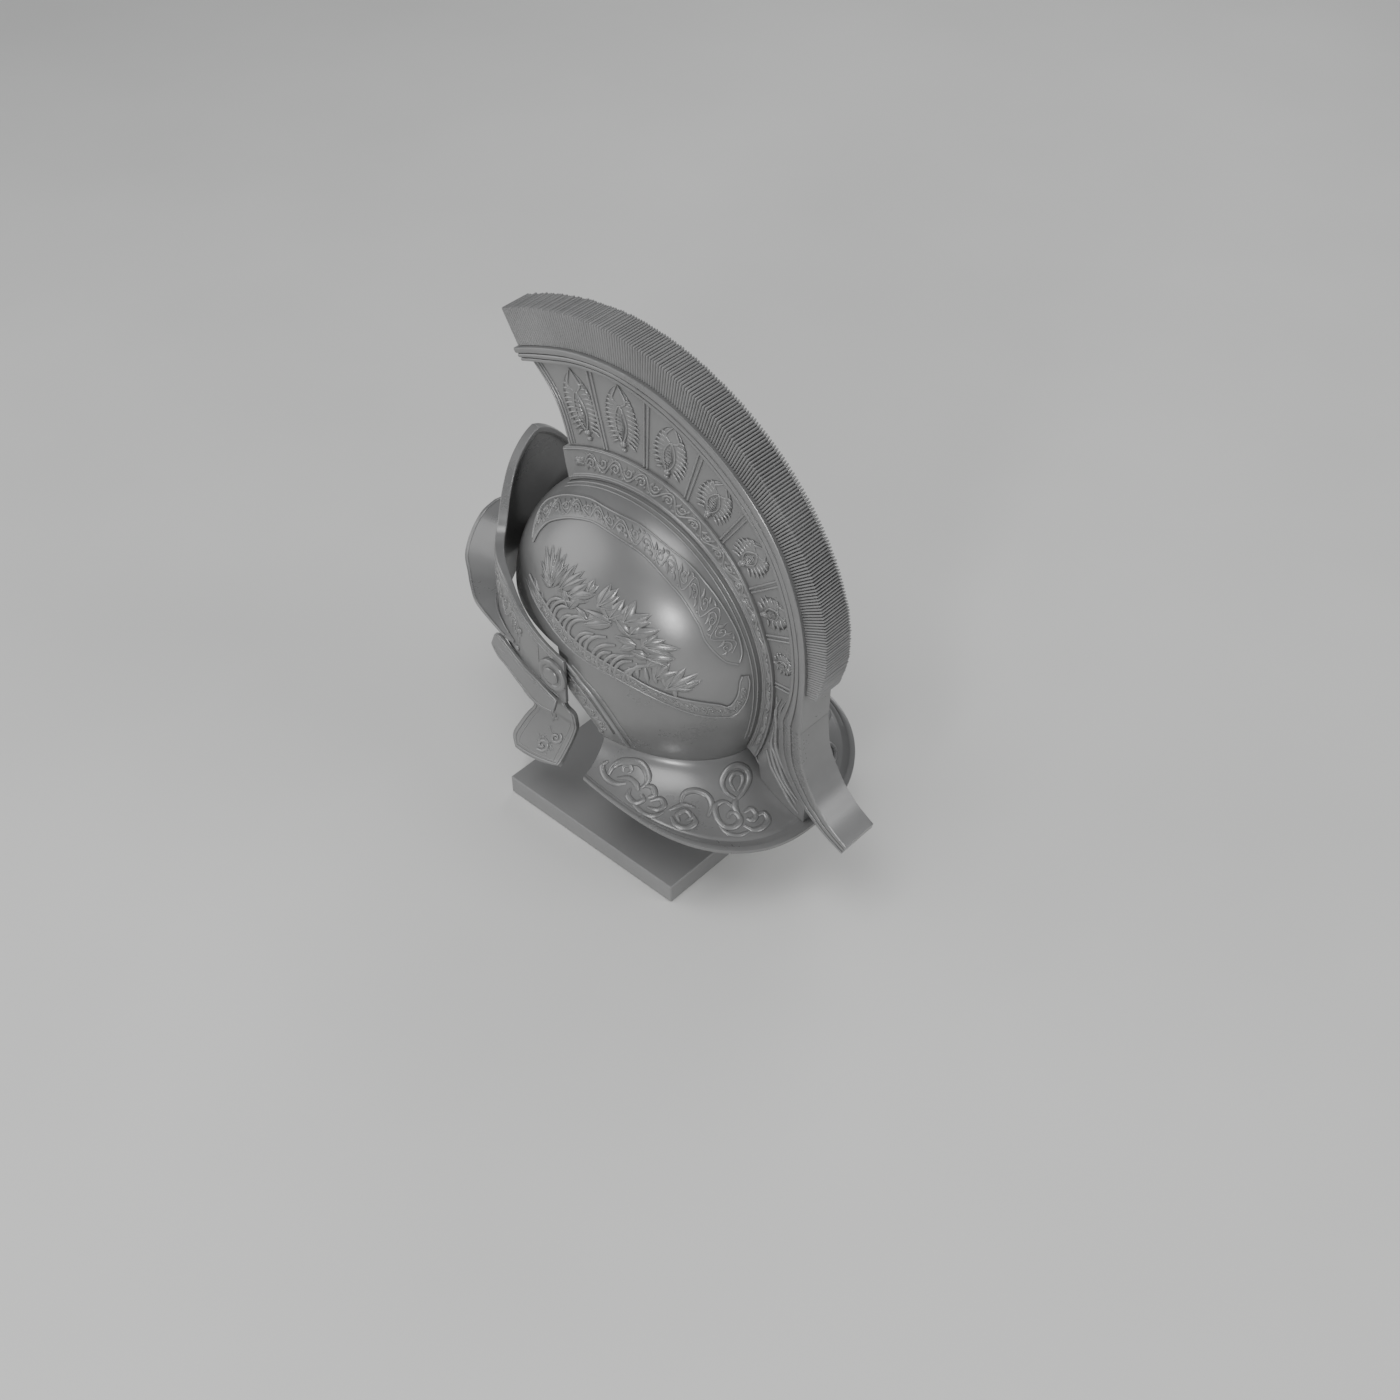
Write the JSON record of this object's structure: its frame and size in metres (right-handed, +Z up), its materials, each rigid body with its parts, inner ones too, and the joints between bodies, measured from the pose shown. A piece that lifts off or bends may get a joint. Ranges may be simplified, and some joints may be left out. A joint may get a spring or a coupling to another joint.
{
  "type": "gladiator helmet on a display plinth",
  "caption": "Ornate open-faced gladiator helmet with a tall brush crest, standing brow plate, peak, flared neck guard and hinged cheek guards, held on a square plinth by a post.",
  "frame": {"origin": "middle of the plinth's bottom face", "axes": "+X to the wearer's left, +Y to the back of the helmet, +Z up"},
  "size_m": [0.2394, 0.4514, 0.5042],
  "materials": {
    "helmet_metal": "mid grey satin over cast and beaten metal",
    "brush": "stiff grey bristle in fine strips",
    "plinth": "smooth grey satin paint"
  },
  "bodies": {
    "base": {"plinth": "plinth", "post": "plinth", "bowl": "helmet_metal", "neck_guard": "helmet_metal", "brow_plate": "helmet_metal", "peak": "helmet_metal", "ear_flange_left": "helmet_metal", "ear_flange_right": "helmet_metal", "hinge_pin_left": "helmet_metal", "hinge_pin_right": "helmet_metal", "rosette_left": "helmet_metal", "rosette_right": "helmet_metal", "rivet_left_1": "helmet_metal", "rivet_right_1": "helmet_metal", "rivet_left_2": "helmet_metal", "rivet_right_2": "helmet_metal", "rivet_left_3": "helmet_metal", "rivet_right_3": "helmet_metal", "crest_frieze": "helmet_metal", "crest_web": "helmet_metal", "crest_rail": "helmet_metal", "crest_brush": "brush"},
    "cheek_left": {"cheek_guard_left": "helmet_metal"},
    "cheek_right": {"cheek_guard_right": "helmet_metal"}
  },
  "joints": [
    {"name": "cheek_left_hinge", "type": "hinge", "parent": "base", "child": "cheek_left", "pos_m": [0.0955, -0.057, 0.1683], "axis": [0, -1, 0], "range_deg": [0, 42]},
    {"name": "cheek_right_hinge", "type": "hinge", "parent": "base", "child": "cheek_right", "pos_m": [-0.0955, -0.057, 0.1683], "axis": [0, 1, 0], "range_deg": [0, 42]}
  ]
}
